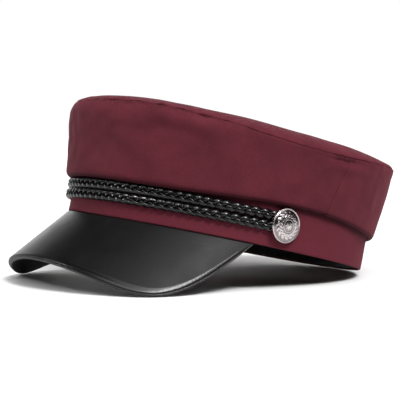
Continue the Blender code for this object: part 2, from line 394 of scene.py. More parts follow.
# Coated synthetic leather, embossed with a fine grain of about 0.7 mm, which leaves it matt.
lining, tree, surface, place = new_material("embossed_lining_leather")
grain = add_node(tree, "TexVoronoi", {
    "Vector": place, "Scale": 1 / LINING_GRAIN, "Smoothness": 0.6,
}, feature="SMOOTH_F1")
wear = add_node(tree, "TexNoise", {"Vector": place, "Scale": 1 / LINING_WEAR, "Detail": 4.0})
tone = add_node(tree, "MixRGB", {
    "Fac": wear.outputs["Fac"],
    "Color1": linear(SWEATBAND_BLACK), "Color2": linear(SWEATBAND_WORN),
})
grain_bump = add_node(tree, "Bump", {
    "Height": grain.outputs["Distance"], "Strength": 0.3, "Distance": 0.0002,
})
fill(tree, surface, {
    "Base Color": tone.outputs["Color"], "Normal": grain_bump.outputs["Normal"],
    "Roughness": 0.62, "IOR": 1.48,
})

inside = -BAND_THICKNESS - GAP
half = SWEATBAND_THICKNESS / 2
turns = np.arange(0.0, 361.0, SWEATBAND_TURN_STEP)
top = round_head(FOLD_LOW, turns)[:, None] + BAND_ABOVE_FOLD - SWEATBAND_INSET - half
out, up = strip_sections(
    inside, SWEATBAND_THICKNESS, SWEATBAND_INSET + half, top, SWEATBAND_COLUMNS, SWEATBAND_EDGE_STEPS,
)
flat = on_head(turns[:, None], out, up)
ripple = SWEATBAND_RIPPLE * (uneven(flat, SWEATBAND_RIPPLE_LENGTH, 21) - 1.0)
sweatband = skin("sweatband_strip", on_head(turns[:, None], out + ripple, up), lining)
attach(sweatband, "root")
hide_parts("sweatband")

# One row of lock stitches through the strip. Each shows as a short length of thread that is
# drawn in at its ends.
STITCH_LENGTH = 0.0026
STITCH_PITCH = 0.0034
STITCH_RADIUS = 0.00022
# Its ends are drawn in to this share of its radius.
STITCH_END_SHARE = 0.2
STITCH_UP = 0.0034
# How far the middle of the thread stands off the strip at a stitch's ends, and how much
# farther halfway along it.
STITCH_STANDS = 0.00012
STITCH_ARCH = 0.00006
STITCH_RINGS = 7
STITCH_SIDES = 6
THREAD_BLACK = "#1b1919"
THREAD_TWIST = 0.0004

# Spun polyester thread: black, with the dull shine of its twist.
thread, tree, surface, place = new_material("spun_polyester_thread")
twist = add_node(tree, "TexNoise", {"Vector": place, "Scale": 1 / THREAD_TWIST, "Detail": 2.0})
tone = add_node(tree, "MixRGB", {
    "Fac": twist.outputs["Fac"], "Color1": linear(THREAD_BLACK), "Color2": linear(SWEATBAND_WORN),
})
fill(tree, surface, {"Base Color": tone.outputs["Color"], "Roughness": 0.55})


def travel_along(line):
    """How far each point of a line is from its first point, along the line."""
    return np.pad(np.linalg.norm(np.diff(line, axis=0), axis=1).cumsum(), (1, 0))


def join(pieces, name):
    """One piece made of several."""
    with bpy.context.temp_override(active_object=pieces[0], selected_editable_objects=pieces):
        bpy.ops.object.join()
    pieces[0].name = name
    return pieces[0]


strip_back = inside - SWEATBAND_THICKNESS
fine_turns = np.linspace(0.0, 360.0, 8 * 360 + 1)
travel = travel_along(on_head(fine_turns, strip_back, STITCH_UP))
stitch_count = round(travel[-1] / STITCH_PITCH)
stitch_middles = np.arange(stitch_count) * travel[-1] / stitch_count
along = np.linspace(-1.0, 1.0, STITCH_RINGS)
around = np.radians(np.arange(STITCH_SIDES) * 360 / STITCH_SIDES)
radius = STITCH_RADIUS * np.sqrt(np.maximum(1 - along ** 2, STITCH_END_SHARE ** 2))
rise = strip_back - STITCH_STANDS - STITCH_ARCH * (1 - along ** 2)
ring_out = rise[:, None] + radius[:, None] * np.cos(around)
ring_up = STITCH_UP + radius[:, None] * np.sin(around)
threads = []
for middle in stitch_middles:
    way = (middle + along * STITCH_LENGTH / 2) % travel[-1]
    stitch_turns = np.interp(way, travel, fine_turns)[:, None]
    threads.append(skin("stitch", on_head(stitch_turns, ring_out, ring_up), thread))
stitches = join(threads, "sweatband_stitches")
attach(stitches, "root")

# ---------------------------------------------------------------- visor
# A stiff board between an upper and a lower black synthetic leather. Each leather is turned
# over the board's edge, so that the edge shows two soft lips with a fine groove between them.

VISOR_HALF_TURN = 73.2
# From root to rim at the front, the share that its lobes are longer, and how square they end.
VISOR_LENGTH = 0.0434
VISOR_LOBES = 0.63
VISOR_CORNER = 8.3
# The slope down in degrees, and the spread to the sides, as terms over the way across.
VISOR_SLOPE = (46.2, 6.2, -1.9)
VISOR_SPREAD = (0.23, -0.03)
VISOR_THICKNESS = 0.0028
# A thin ledge of it goes in under the band and the sweatband, past a small bend at the root.
VISOR_LEDGE = BAND_THICKNESS + GAP + SWEATBAND_THICKNESS
LEDGE_THICKNESS = 0.0010
VISOR_BEND = 0.0016
# It thins out over this length where its corners run out to nothing.
VISOR_TAPER = 0.0060
# It has so many sections, and these columns over its bend, its upper face and its underside.
VISOR_SECTIONS = 301
BEND_COLUMNS = 9
FACE_COLUMNS = 49
UNDER_COLUMNS = 40
# The lobe on the wearer's right is cut short: where across, how far, and by which share.
FAR_TRIM = (-0.88, 0.09, 0.122)
# From the front towards that lobe the leather is turned over taller and with less bulge.
FAR_STARTS = 0.0
FAR_SETS_IN = 20.0
FAR_FULLNESS = 0.32
FAR_TIGHTNESS = 0.62
# The edge is pressed fully on the wearer's left, and by this share on the other side. Faces
# that are pressed more than the least take the smoother leather.
PRESSED_STARTS = 5.0
PRESSED_SETS_IN = 16.0
FAR_PRESSED = 0.06
PRESSED_LEAST = 0.3
# A face belongs to the underside if its normal's way up is less than this.
UNDERSIDE_FACES = -0.5
VISOR_BLACK = "#0b0b0b"
VISOR_GREY = "#111010"
VISOR_SHINE = 0.19
VISOR_GRAIN = 0.0009
VISOR_CLOUD = 0.015
EDGE_SHINE = 0.45
EDGE_GLOSS = 0.26

# The edge's section, as (out past the rim, down from the upper face), from the upper face.
EDGE_SECTION = np.array([
    (-3.00, 0.00), (-2.40, 0.02), (-1.90, 0.06), (-1.50, 0.13), (-1.18, 0.23), (-0.94, 0.36),
    (-0.78, 0.50), (-0.69, 0.62), (-0.60, 0.64), (-0.48, 0.57), (-0.32, 0.56), (-0.16, 0.63),
    (-0.04, 0.78), (0.00, 1.00), (0.02, 1.35), (0.00, 1.72), (-0.10, 1.98), (-0.26, 2.12),
    (-0.42, 2.18), (-0.37, 2.24), (-0.26, 2.32), (-0.20, 2.42), (-0.27, 2.54), (-0.43, 2.63),
    (-0.64, 2.69), (-0.88, 2.71),
]) / 1000

# Polyurethane-coated leather, pressed with a very fine grain and left satin, so that lights
# show in it as broad soft sheens. The grain is drawn 0.9 mm wide, about twice the real one.
visor_leather, tree, surface, place = new_material("satin_coated_leather")
grain = add_node(tree, "TexVoronoi", {
    "Vector": place, "Scale": 1 / VISOR_GRAIN, "Smoothness": 0.8,
}, feature="SMOOTH_F1")
cloudy = add_node(tree, "TexNoise", {"Vector": place, "Scale": 1 / VISOR_CLOUD, "Detail": 3.0})
tone = add_node(tree, "MixRGB", {
    "Fac": cloudy.outputs["Fac"], "Color1": linear(VISOR_BLACK), "Color2": linear(VISOR_GREY),
})
dull = add_node(tree, "MapRange", {
    "Value": cloudy.outputs["Fac"], "From Min": 0.3, "From Max": 0.7, "To Min": 0.42, "To Max": 0.50,
})
pressed = add_node(tree, "Attribute", attribute_name="relief").outputs["Fac"]
gloss = add_node(tree, "Mix", {
    0: pressed, 2: dull.outputs["Result"], 3: EDGE_GLOSS,
}, data_type="FLOAT")
grain_bump = add_node(tree, "Bump", {
    "Height": grain.outputs["Distance"], "Strength": 0.34, "Distance": 0.00015,
})
fill(tree, surface, {
    "Base Color": tone.outputs["Color"], "Normal": grain_bump.outputs["Normal"],
    "Roughness": gloss.outputs[0], "IOR": 1.42, "Specular IOR Level": VISOR_SHINE,
})

# Round the edge the same leather is pressed hot over the board, which leaves it smoother, so
# that it takes a bright narrow light along the lobe on the wearer's left.
pressed_leather = visor_leather.copy()
pressed_leather.name = "hot_pressed_coated_leather"
tree = pressed_leather.node_tree
fill(tree, tree.nodes[surface.name], {"Specular IOR Level": EDGE_SHINE})

side = np.sin(np.radians(np.linspace(-90.0, 90.0, VISOR_SECTIONS)))
turns = side * VISOR_HALF_TURN
lengths = VISOR_LENGTH * (1 + VISOR_LOBES * side ** 2) * (1 - np.abs(side) ** VISOR_CORNER)
lengths = lengths * (1 - FAR_TRIM[2] * np.exp(-((side - FAR_TRIM[0]) / FAR_TRIM[1]) ** 2))
slopes = np.radians(VISOR_SLOPE[0] + VISOR_SLOPE[1] * side ** 2 + VISOR_SLOPE[2] * side ** 4)
headings = VISOR_SPREAD[0] * np.radians(turns) + VISOR_SPREAD[1] * side ** 3
ways = np.stack([
    np.sin(headings) * np.cos(slopes), -np.cos(headings) * np.cos(slopes), -np.sin(slopes),
], axis=-1)
roots = on_head(turns, 0.0, -GAP)
root_run = np.gradient(roots, turns, axis=0)
way_run = np.gradient(ways, turns, axis=0)


def visor_normals(distance):
    """The upper face's normals at a distance from the root, for each section."""
    return unit(np.cross(ways, root_run + way_run * distance[:, None]))


def columns_between(first, last, shares):
    """Columns of points on the way from one line to another."""
    return first[:, None] + (last - first)[:, None] * shares[:, None]


taper = 1 - np.exp(-lengths / VISOR_TAPER)
far_wing = np.clip((FAR_STARTS - turns) / FAR_SETS_IN, 0.0, 1.0)
fullness = taper * (1 + FAR_FULLNESS * far_wing ** 2 * (3 - 2 * far_wing))
reach_share = taper * (1 - FAR_TIGHTNESS * far_wing)
rims = roots + ways * lengths[:, None]
rim_normals = visor_normals(lengths)
rim_out = unit(np.cross(np.gradient(rims, axis=0), rim_normals))
reaches = (EDGE_SECTION[:, 0] * reach_share[:, None])[..., None]
drops = (EDGE_SECTION[:, 1] * fullness[:, None])[..., None]
edge = rims[:, None] + rim_out[:, None] * reaches - rim_normals[:, None] * drops

share = np.linspace(0.0, 1.0, BEND_COLUMNS)[:, None]
bend_starts = on_head(turns, -VISOR_BEND / 2, -GAP)
bend_ends = roots + ways * np.minimum(VISOR_BEND / 2, lengths * 0.5)[:, None]
bend = (1 - share) ** 2 * bend_starts[:, None] + 2 * share * (1 - share) * roots[:, None]
bend = bend + share ** 2 * bend_ends[:, None]
face_shares = np.linspace(0.0, 1.0, FACE_COLUMNS + 2)[1:-1]
face = columns_between(bend_ends, edge[:, 0], face_shares)

root_normals = visor_normals(lengths * 0)
miter = (root_normals + np.array((0.0, 0.0, 1.0))) / (1 + root_normals[:, 2:3])
low_roots = roots - miter * (VISOR_THICKNESS * taper)[:, None]
under_shares = np.linspace(0.0, 1.0, UNDER_COLUMNS + 1)[1:]
under = columns_between(edge[:, -1], low_roots, under_shares)
ledge_high = on_head(turns, -VISOR_LEDGE, -GAP)
ledge_low = on_head(turns, -VISOR_LEDGE, -GAP - LEDGE_THICKNESS)
ledge_over = np.stack([ledge_high, (ledge_high + bend_starts) / 2], axis=1)
ledge_under = np.stack([(low_roots + ledge_low) / 2, ledge_low], axis=1)
grid = np.concatenate([ledge_over, bend, face, edge, under, ledge_under], axis=1)

# Each section follows the lifted seam fully at the root and not at all at the rim.
follow = np.concatenate([
    np.ones(2 + BEND_COLUMNS), 1 - face_shares, np.zeros(len(EDGE_SECTION)), under_shares, np.ones(2),
])
grid[..., 2] += lift(turns)[:, None] * follow

# The pressing fades out over the two last columns of the upper face.
edge_start = 2 + BEND_COLUMNS + FACE_COLUMNS
pressed_columns = np.zeros(grid.shape[1])
pressed_columns[edge_start - 2:edge_start] = (0.3, 0.7)
pressed_columns[edge_start:edge_start + len(EDGE_SECTION)] = 1.0
near_side = np.clip((turns - PRESSED_STARTS) / PRESSED_SETS_IN, 0.0, 1.0)
pressed_grid = pressed_columns * (FAR_PRESSED + (1 - FAR_PRESSED) * near_side)[:, None]
visor = skin("visor_shell", grid, visor_leather, relief=pressed_grid)
visor.data.materials.append(lining)
visor.data.materials.append(pressed_leather)
pressed_at = visor.data.attributes["relief"].data
# The underside has the lining's leather, and the pressed edge has the smoother one.
for polygon in visor.data.polygons:
    if polygon.normal.z < UNDERSIDE_FACES:
        polygon.material_index = 1
    elif min(pressed_at[corner].value for corner in polygon.vertices) > PRESSED_LEAST:
        polygon.material_index = 2
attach(visor, "root")
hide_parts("visor")

# ---------------------------------------------------------------- crown sides
# A front and a back panel of the same twill, on a stiff backing. They are joined by a seam
# at each side, rise to the top seam, and roll under at the bottom to be sewn to the band.

# Where its top edge lies: out past the band, and up, as cosine terms round the head.
SEAM_OVERHANG = (0.0105, 0.0014, -0.0002)
SEAM_HEIGHT = (0.0649, -0.0002, 0.0031, -0.0008)
# How far the top rises in its middle, and the two powers of its dome.
TOP_RISE = 0.0105
TOP_ROUNDNESS = (3.75, 0.78)
# The fold's belly, how tall its bend is, and how it is tucked in and sewn behind the fold.
FOLD_OVERHANG = (0.0049, 0.0013, 0.0003)
FOLD_DEPTH = 0.0038
FOLD_TUCK = 0.0015
FOLD_ALLOWANCE = 0.0030
TUCK_ANGLES = (67, 45, 22, 0)
CLOTH = 0.0010

# How far the top edge and the fold are rounded, on top of their own curves, and over what reach.
EDGE_ROUND = (0.00675, 0.0025, 0.00375)
EDGE_ROUND_REACH = 0.016
FOLD_ROUND = 0.0022
FOLD_ROUND_REACH = 0.007

# The crown's outside, before it is cut into panels, as a table of points over turns and over
# the way down from the top edge, which is less than nothing on the top.
TABLE_TURN = 0.5
TABLE_DOWN = 0.00025
DOME_COLUMNS = 160
FOLD_COLUMNS = 25
table_turns = np.arange(-180.0, 180.0 + TABLE_TURN / 2, TABLE_TURN)
table_downs = np.arange(-0.110, 0.066, TABLE_DOWN)

edge = on_head(table_turns, round_head(SEAM_OVERHANG, table_turns), 0.0)
edge_up = round_head(SEAM_HEIGHT, table_turns)
front = on_head(0.0, round_head(SEAM_OVERHANG, 0.0), 0.0)
back = on_head(180.0, round_head(SEAM_OVERHANG, 180.0), 0.0)
crown_middle = (front + back) / 2
power, bluntness = TOP_ROUNDNESS
columns = []
for size in np.sin(np.radians(np.linspace(0.0, 90.0, DOME_COLUMNS))):
    point = crown_middle + (edge - crown_middle) * size
    point[:, 2] = SEAM_HEIGHT[0] + (edge_up - SEAM_HEIGHT[0]) * size
    point[:, 2] += TOP_RISE * (1 - size ** power) ** bluntness
    columns.append(point)
overhang = round_head(FOLD_OVERHANG, table_turns)
fold_low = round_head(FOLD_LOW, table_turns)
bend = fold_low + FOLD_DEPTH
for angle in np.radians(np.linspace(0, 90, FOLD_COLUMNS)):
    fold_out = FOLD_TUCK + (overhang - FOLD_TUCK) * np.cos(angle)
    columns.append(on_head(table_turns, fold_out, bend - FOLD_DEPTH * np.sin(angle)))
for angle in np.radians(TUCK_ANGLES):
    tuck_out = FOLD_TUCK + (GAP - FOLD_TUCK) * np.cos(angle)
    columns.append(on_head(table_turns, tuck_out, fold_low + CLOTH * (1 - np.sin(angle))))
columns.append(on_head(table_turns, GAP, fold_low + FOLD_ALLOWANCE))
outline = np.stack(columns, axis=1)
lengths = np.linalg.norm(np.diff(outline, axis=1), axis=-1).cumsum(axis=1)
lengths = np.pad(lengths, ((0, 0), (1, 0)))
lengths -= lengths[:, DOME_COLUMNS - 1:DOME_COLUMNS]
bend_down = lengths[:, DOME_COLUMNS + FOLD_COLUMNS // 2]
end_down = lengths[:, -1]
middle_down = lengths[:, 0]
crown_table = np.stack([
    np.stack([np.interp(table_downs, length, row[:, axis]) for axis in range(3)], axis=-1)
    for length, row in zip(lengths, outline)
])


def on_crown(turn, down):
    """Points on the crown's outside, read between the rows and columns of its table."""
    turn, down = np.broadcast_arrays(turn, down)
    turn = (turn + 180) % 360 / TABLE_TURN
    down = (down - table_downs[0]) / TABLE_DOWN
    row = np.clip(turn.astype(int), 0, len(table_turns) - 2)
    column = np.clip(down.astype(int), 0, len(table_downs) - 2)
    across = (turn - row)[..., None]
    along = (down - column)[..., None]
    upper = crown_table[row, column] * (1 - along) + crown_table[row, column + 1] * along
    lower = crown_table[row + 1, column] * (1 - along) + crown_table[row + 1, column + 1] * along
    return upper * (1 - across) + lower * across


# Each point is moved to the weighted middle of a short stretch through it.
at_edge = np.clip(1 - (table_downs / EDGE_ROUND_REACH) ** 2, 0.0, 1.0)
from_bend = table_downs - bend_down[:, None]
at_bend = np.clip(1 - (from_bend / FOLD_ROUND_REACH) ** 2, 0.0, 1.0)
stretch = round_head(EDGE_ROUND, table_turns)[:, None] * at_edge + FOLD_ROUND * at_bend
weights = 0.0
rounded = 0.0
for place in np.linspace(-1.0, 1.0, 17)[1:-1]:
    weight = 1 - place ** 2
    rounded = rounded + weight * on_crown(table_turns[:, None], table_downs + place * stretch)
    weights += weight
crown_table = rounded / weights

# The side seams start behind the buttons and lean back as they rise, in degrees a metre.
SIDE_SEAM_TURN = 98.2
SIDE_SEAM_LEAN = 85.0
# At a seam the cloth rolls in over this much. A side seam is shallower near the top.
SEAM_ROLL = 0.0008
SIDE_SEAM_DEPTHS = (0.35, 1.0)
SIDE_SEAM_DEEPENS = 1.6
# How far the top seam climbs over the edge on to the top, as cosine terms, how much farther
# it does so by the front at the wearer's left (turn, reach, climb), and how it wanders.
SEAM_CLIMB = (0.00053, 0.00111, 0.00089, -0.00018, -0.00136, -0.00093)
SEAM_EXTRA = (14.0, 24.0, 0.0034)
SEAM_WANDER = 0.00022
SEAM_WANDER_LENGTH = 0.007
# Where the wall stands out or in: the turn, the share of the way down from the seam, how far
# each reaches, and how far out it stands.
SWELLS = (
    (47.5, 0.18, 5.5, 0.10, 0.0017),
    (48.0, 0.03, 4.5, 0.05, -0.0012),
    (27.0, 0.36, 6.5, 0.07, -0.0008),
    (38.0, 0.29, 7.0, 0.06, -0.0008),
    (17.5, 0.27, 4.5, 0.05, 0.0007),
    (15.0, 0.47, 3.0, 0.06, -0.0005),
    (104.0, 0.16, 10.0, 0.07, 0.0010),
    (150.0, 0.60, 28.0, 0.35, 0.0007),
    (-150.0, 0.60, 28.0, 0.35, 0.0006),
    (-31.0, 0.14, 9.0, 0.12, -0.0006),
    (-62.0, 0.35, 10.0, 0.10, -0.0004),
    (-140.0, 0.30, 10.0, 0.12, -0.0005),
)
# Its unevenness, as a height and a length. The top seam holds it to this share, and lets go
# of it over this reach. The fold holds it flat, and then lets go of it over its own reach.
WALL_UNEVEN = (0.00045, 0.034)
WALL_FINE = (0.00018, 0.012)
SEAM_LEAVES = 0.15
SEAM_HOLDS = 0.010
FOLD_FLAT = 0.0048
FOLD_HOLDS = 0.016
# The gathers that the thread pulls at the top seam: broad ones, and a fine comb of short ones.
# They are so many times as long as they are wide. Where the seam is drawn in deepest, painted
# shade darkens the cloth, in streaks that follow the fine comb.
PUCKER = 0.00030
PUCKER_WIDTH = 0.0075
PUCKER_STRETCH = 5
PUCKER_REACH = 0.0045
SIDE_SEAM_PUCKER = 0.6
FINE_PUCKER = 0.00026
FINE_PUCKER_WIDTH = 0.0018
FINE_PUCKER_STRETCH = 10
FINE_PUCKER_REACH = 0.0028
GATHER_FROM = 0.8
GATHER_REACH = 0.0030
GATHER_SHADE = 0.6
# How deep the top seam is drawn in, as (turn, depth) pairs. At its deepest it has a second,
# lower crease beside it.
SEAM_DEPTHS = np.array([
    (-180, 0.8), (-30, 0.7), (-8, 0.6), (4, 0.9), (12, 1.9), (44, 1.7), (58, 1.1), (82, 0.6),
    (92, 0.5), (97, 2.0), (103, 1.8), (110, 1.0), (125, 0.7), (180, 0.8),
])
TIGHT_TURN = 99.0
TIGHT_REACH = 7.0
CREASE_DOWN = 0.0027
CREASE_WIDTH = 0.0008
CREASE_DEPTH = 0.0009
# Painted shade darkens the cloth where it turns under, from this far above the lowest part of the fold.
FOLD_SHADE_ABOVE = 0.0020
FOLD_SHADE_SOFT = 0.0013
# How long one degree is round the crown.
DEGREE = math.radians(1) * 0.095
# The rows by a side seam, in metres from it, and the columns by the top seam, in shares of the
# way down, lie closer together. The inside of the cloth has every third column.
ROWS_BY_SEAM = np.array([0.0, 0.25, 0.5, 0.8, 1.2, 1.8]) / 1000
COLUMNS_BY_SEAM = (0.0, 0.005, 0.011, 0.018, 0.027, 0.038)
COLUMNS_BELOW = np.linspace(0.05, 1.0, 58)
INSIDE_STEP = 3
# The outside of the cloth looks away from a point this far up in the crown.
INSIDE_UP = 0.03


def roll_in(distance, radius):
    """How far a surface lies below its own level, at a distance from the edge it rolls over."""
    left = np.clip(1 - distance / radius, 0.0, 1.0)
    return radius * (1 - np.sqrt(1 - left ** 2))


def shell(grid, relief):
    """The sections of the cloth: its outside, moved out by the relief, and its inside back again."""
    normals = unit(np.cross(np.gradient(grid, axis=0), np.gradient(grid, axis=1)))
    away = grid - crown_middle - np.array((0.0, 0.0, INSIDE_UP))
    if np.einsum("ijk,ijk->", normals, away) < 0:
        normals = -normals
    outside = grid + normals * relief[..., None]
    inside = (outside - normals * CLOTH)[:, ::-1]
    kept = np.unique(np.append(np.arange(0, inside.shape[1], INSIDE_STEP), inside.shape[1] - 1))
    return np.concatenate([outside, inside[:, kept]], axis=1)


def seam_climb(turn):
    """How far past the edge the top seam lies on the top, at each turn."""
    wander = SEAM_WANDER * uneven(on_head(turn, 0.0, 0.0), SEAM_WANDER_LENGTH, 33)
    extra_turn, reach, climb = SEAM_EXTRA
    extra = climb * np.exp(-(between(turn, extra_turn) / reach) ** 2)
    return round_head(SEAM_CLIMB, turn) + extra + wander


def seam_depth(turn):
    """How deep the top seam is drawn in at each turn, as a share of its usual depth."""
    return np.interp(between(turn, 0.0), SEAM_DEPTHS[:, 0], SEAM_DEPTHS[:, 1])


def puckers(points, width, stretch, seed):
    """Ripples which run up and down, away from a seam, mostly between -1 and 1."""
    return uneven(points / np.array((1, 1, stretch)), width, seed)


def crown_side(name, middle, half, lean, steps, seed):
    """A side panel, from one leaning side seam to the other."""
    shares = np.linspace(-1, 1, 2 * steps + 1)
    near_end = ROWS_BY_SEAM / (half * DEGREE)
    shares = np.unique(np.concatenate([shares, 1 - near_end, near_end - 1]))[:, None]
    turn = middle + half * shares
    fractions = np.concatenate([COLUMNS_BY_SEAM, COLUMNS_BELOW])
    # The lean moves the turns, and these move the seam a little, so it is worked out twice.
    for _ in range(2):
        start = -seam_climb(turn)
        end = np.interp(between(turn, 0.0), table_turns, end_down)
        down = start + (end - start) * fractions
        up = on_crown(turn, down)[..., 2]
        turn = middle + half * shares + lean * shares * (up - FOLD_LOW[0])
    flat = on_crown(turn, down)

    from_seam = down - start
    share_down = from_seam / (end - start)
    from_end = (1 - np.abs(shares)) * half * DEGREE
    free = np.clip(from_seam / SEAM_HOLDS, SEAM_LEAVES, 1.0)
    free = free * np.clip((end - down - FOLD_FLAT) / FOLD_HOLDS, 0.0, 1.0)
    relief = free * WALL_UNEVEN[0] * uneven(flat, WALL_UNEVEN[1], seed)
    relief += free * WALL_FINE[0] * uneven(flat, WALL_FINE[1], seed + 1)
    for swell_turn, swell_share, wide, tall, height in SWELLS:
        apart = between(turn, swell_turn)
        relief += height * np.exp(-(apart / wide) ** 2 - ((share_down - swell_share) / tall) ** 2)
    broad = PUCKER * puckers(flat, PUCKER_WIDTH, PUCKER_STRETCH, seed + 2)
    relief += seam_depth(turn) * broad * np.exp(-from_seam / PUCKER_REACH)
    comb = puckers(flat, FINE_PUCKER_WIDTH, FINE_PUCKER_STRETCH, seed + 3)
    relief += seam_depth(turn) * FINE_PUCKER * comb * np.exp(-from_seam / FINE_PUCKER_REACH)
    relief += SIDE_SEAM_PUCKER * broad * np.exp(-from_end / PUCKER_REACH)
    tight = np.exp(-((turn - TIGHT_TURN) / TIGHT_REACH) ** 2)
    crease = np.exp(-((from_seam - CREASE_DOWN) / CREASE_WIDTH) ** 2)
    relief -= tight * CREASE_DEPTH * crease
    relief -= roll_in(from_seam, SEAM_ROLL) * seam_depth(turn)
    side_depth = np.interp(share_down * SIDE_SEAM_DEEPENS, (0.0, 1.0), SIDE_SEAM_DEPTHS)
    relief -= roll_in(from_end, SEAM_ROLL) * side_depth
    grid = shell(flat, relief)
    # Painted shade on the fold's underside.
    fold_shade_from = round_head(FOLD_LOW, turn[:, -1:]) + FOLD_SHADE_ABOVE
    painted_shade = np.clip((fold_shade_from - grid[..., 2]) / FOLD_SHADE_SOFT, 0.0, 1.0)
    # Painted shade along the top seam where it is drawn in deepest, in streaks that follow the fine comb.
    seam_shade = np.clip(seam_depth(turn) - GATHER_FROM, 0.0, 1.0)
    seam_shade = seam_shade * np.exp(-(from_seam / GATHER_REACH) ** 2)
    painted_shade[:, :flat.shape[1]] += seam_shade * np.clip(GATHER_SHADE * (1 + comb), 0.0, 1.0)
    return skin(name, grid, twill, relief=np.clip(painted_shade, 0.0, 1.0))


crown_side_front = crown_side("crown_front_panel", 0, SIDE_SEAM_TURN, SIDE_SEAM_LEAN, 280, 31)
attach(crown_side_front, "root")
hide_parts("crown_side_front")
crown_side_back = crown_side("crown_back_panel", 180, 180 - SIDE_SEAM_TURN, -SIDE_SEAM_LEAN, 115, 41)
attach(crown_side_back, "root")
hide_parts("crown_side_back")

# ---------------------------------------------------------------- crown top
# One oval panel of the same twill, domed by its stiff backing. Its edge turns down to the
# seam, where the tight thread draws both panels in and puckers them.

TOP_UNEVEN = (0.0003, 0.060)
TOP_FINE = (0.00008, 0.020)
TOP_SEAM_LEAVES = 0.1
TOP_SEAM_HOLDS = 0.012
TOP_SECTIONS = 481
# Its columns are close together by the seam, and lie farther apart towards the middle.
TOP_BY_SEAM = np.array([0.0, 0.15, 0.35, 0.6, 0.9, 1.3, 1.8]) / 1000
TOP_COLUMNS = 59
TOP_SPREAD = 1.25
# Where the top sags or swells: the place across and along the head, the reach and the height.
TOP_SWELLS = (
    (0.040, -0.042, 0.020, -0.0013),
    (0.058, -0.012, 0.016, -0.0003),
    (0.056, 0.070, 0.016, -0.0006),
    (-0.040, -0.038, 0.022, -0.0010),
    (-0.050, 0.050, 0.025, 0.0004),
)

turns = np.linspace(-180.0, 180.0, TOP_SECTIONS)[:, None]
start = -seam_climb(turns)
end = np.interp(turns, table_turns, middle_down)
spread = np.linspace(0.0, 1.0, TOP_COLUMNS + 1)[1:] ** TOP_SPREAD
from_seam = np.concatenate([
    np.broadcast_to(TOP_BY_SEAM, (len(turns), len(TOP_BY_SEAM))),
    TOP_BY_SEAM[-1] + (start - end - TOP_BY_SEAM[-1]) * spread,
], axis=1)
flat = on_crown(turns, start - from_seam)
plan = flat * np.array((1.0, 1.0, 0.0))
relief = TOP_UNEVEN[0] * uneven(plan, TOP_UNEVEN[1], 51) + TOP_FINE[0] * uneven(plan, TOP_FINE[1], 52)
for across, along, reach, height in TOP_SWELLS:
    apart = np.hypot(plan[..., 0] - across, plan[..., 1] - along)
    relief += height * np.exp(-(apart / reach) ** 2)
relief *= np.clip(from_seam / TOP_SEAM_HOLDS, TOP_SEAM_LEAVES, 1.0)
broad = PUCKER * puckers(flat, PUCKER_WIDTH, PUCKER_STRETCH, 53)
relief += seam_depth(turns) * broad * np.exp(-from_seam / PUCKER_REACH)
relief -= roll_in(from_seam, SEAM_ROLL) * seam_depth(turns)
grid = shell(flat, relief)
# The last column of the outside and the first of the inside meet in one point each.
for column in (flat.shape[1] - 1, flat.shape[1]):
    grid[:, column] = grid[:, column].mean(axis=0)
run = np.concatenate([grid, grid[:, :1]], axis=1)[..., :2]
crown_top = skin("crown_top_panel", grid, twill, run)
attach(crown_top, "root")
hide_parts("crown_top")

# ---------------------------------------------------------------- plaited cords
# Two flat plaits, one above the other, each of three glossy black leather strips. They lie
# across the front of the band, and their ends are caught under the buttons.

# Each cord's height on the band, and the seed of its unevenness.
BRAIDS = {"lower": (0.01175, 61), "upper": (0.01820, 62)}
BRAID_END_TURN = 79.6
BRAID_OUT = 0.00180
# A strip swings from side to side, and twice as often in and out. Its crossings drift by so
# many radians of the plait's turn, drawn at so many places.
PLAIT_PERIOD = 0.0171
PLAIT_SWING = 0.00208
PLAIT_CROSSING = 0.00085
PLAIT_DRIFT = 0.10
PLAIT_DRIFT_PLACES = 24
STRIP_COUNT = 3
STRIP_HALF_WIDTH = 0.00126
STRIP_HALF_THICKNESS = 0.00068
STRIP_TILT = math.radians(34.0)
STRIP_SIDES = 16
STRIP_FLATNESS = 0.7
STRIP_STEP = 0.00045
BRAID_BLACK = "#080808"
BRAID_EDGE = "#121112"
STRIP_CLOUD = 0.003
STRIP_CREASE = 0.0006

# Patent-finished synthetic leather, cut in narrow strips: a smooth glossy coat over black,
# which gives each strip a small sharp highlight where it arches over the next.
braid_leather, tree, surface, place = new_material("glossy_cut_leather")
cloudy = add_node(tree, "TexNoise", {"Vector": place, "Scale": 1 / STRIP_CLOUD, "Detail": 3.0})
tone = add_node(tree, "MixRGB", {
    "Fac": cloudy.outputs["Fac"], "Color1": linear(BRAID_BLACK), "Color2": linear(BRAID_EDGE),
})
gloss = add_node(tree, "MapRange", {
    "Value": cloudy.outputs["Fac"], "From Min": 0.3, "From Max": 0.7, "To Min": 0.13, "To Max": 0.21,
})
fine = add_node(tree, "TexNoise", {"Vector": place, "Scale": 1 / STRIP_CREASE, "Detail": 2.0})
crease = add_node(tree, "Bump", {
    "Height": fine.outputs["Fac"], "Strength": 0.15, "Distance": 0.0001,
})
fill(tree, surface, {
    "Base Color": tone.outputs["Color"], "Normal": crease.outputs["Normal"],
    "Roughness": gloss.outputs["Result"], "IOR": 1.50, "Specular IOR Level": 0.36,
})

